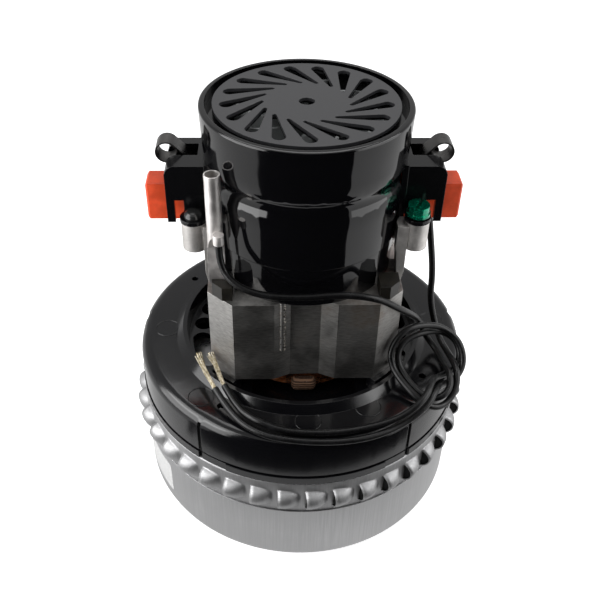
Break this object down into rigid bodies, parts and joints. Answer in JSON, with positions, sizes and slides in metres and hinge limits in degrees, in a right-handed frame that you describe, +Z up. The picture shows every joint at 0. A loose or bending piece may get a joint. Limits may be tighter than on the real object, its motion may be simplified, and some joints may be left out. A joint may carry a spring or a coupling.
{
  "type": "vacuum motor unit",
  "caption": "Two-stage vacuum motor with louvred round fan case, black bracket, open field stack, glossy swirl-grille cover, side brush holders and two looped leads.",
  "frame": {"origin": "centre of the fan case's base, on the shaft's axis", "axes": "+Z up along the shaft, X along the two brushes, -Y the side with the leads' ends"},
  "size_m": [0.1542, 0.1542, 0.1804],
  "materials": {
    "fan_case_steel": "satin",
    "plain_steel": "satin",
    "black_moulding": "gloss",
    "black_holder": "satin",
    "orange_moulding": "satin",
    "cast_aluminium": "as cast",
    "lamination_steel": "matte",
    "copper_winding": "enamelled",
    "copper_segment": "turned",
    "brush_brass": "drawn",
    "carbon": "matte",
    "spring_steel": "bright",
    "fan_aluminium": "bright",
    "fan_plastic": "matte",
    "insulator_plastic": "matte",
    "green_screw": "gloss",
    "dark_screw": "gloss",
    "lead_cover": "satin",
    "tinned_strand": "bright"
  },
  "bodies": {
    "stator": {"lower_shell": "fan_case_steel", "louvre_ring": "fan_case_steel", "guide_vane_plate": "plain_steel", "closing_plate": "plain_steel", "fan_end_bracket": "black_moulding", "lower_bearing_outer": "plain_steel", "upper_bearing_outer": "plain_steel", "field_stack": "lamination_steel", "field_coil_front": "copper_winding", "field_coil_back": "copper_winding", "terminal_block_right": "insulator_plastic", "terminal_block_left": "insulator_plastic", "terminal_tube": "tinned_strand", "end_bracket": "cast_aluminium", "bracket_screw": "dark_screw", "ground_screw": "green_screw", "through_bolts": "plain_steel", "motor_cover": "black_moulding", "lead_long": "lead_cover", "lead_short": "lead_cover", "bare_end_long": "tinned_strand", "bare_end_short": "tinned_strand", "brush_housing_right": "black_holder", "brush_card_right": "orange_moulding", "brush_sleeve_right": "brush_brass", "brush_clip_right": "spring_steel", "brush_spring_right": "spring_steel", "brush_housing_left": "black_holder", "brush_card_left": "orange_moulding", "brush_sleeve_left": "brush_brass", "brush_clip_left": "spring_steel", "brush_spring_left": "spring_steel"},
    "rotor": {"shaft": "plain_steel", "armature_core": "lamination_steel", "armature_winding": "copper_winding", "commutator": "copper_segment", "lower_air_fan": "fan_aluminium", "upper_air_fan": "fan_aluminium", "fan_spacer": "plain_steel", "bearing_spacer": "plain_steel", "shaft_washer": "plain_steel", "shaft_nut": "plain_steel", "cooling_fan": "fan_plastic", "lower_bearing_inner": "plain_steel", "upper_bearing_inner": "plain_steel"},
    "brush_right": {"carbon_brush_right": "carbon"},
    "brush_left": {"carbon_brush_left": "carbon"}
  },
  "joints": [
    {"name": "rotor_spin", "type": "hinge", "parent": "stator", "child": "rotor", "pos_m": [0, 0, 0.09], "axis": [0, 0, 1], "continuous": true},
    {"name": "brush_slide_right", "type": "slide", "parent": "stator", "child": "brush_right", "axis": [1, 0, 0], "range_m": [0, 0.006], "stiffness_N_per_m": 250, "springref_m": -0.012, "deforming": ["brush_spring_right"]},
    {"name": "brush_slide_left", "type": "slide", "parent": "stator", "child": "brush_left", "axis": [-1, 0, 0], "range_m": [0, 0.006], "stiffness_N_per_m": 250, "springref_m": -0.012, "deforming": ["brush_spring_left"]}
  ]
}
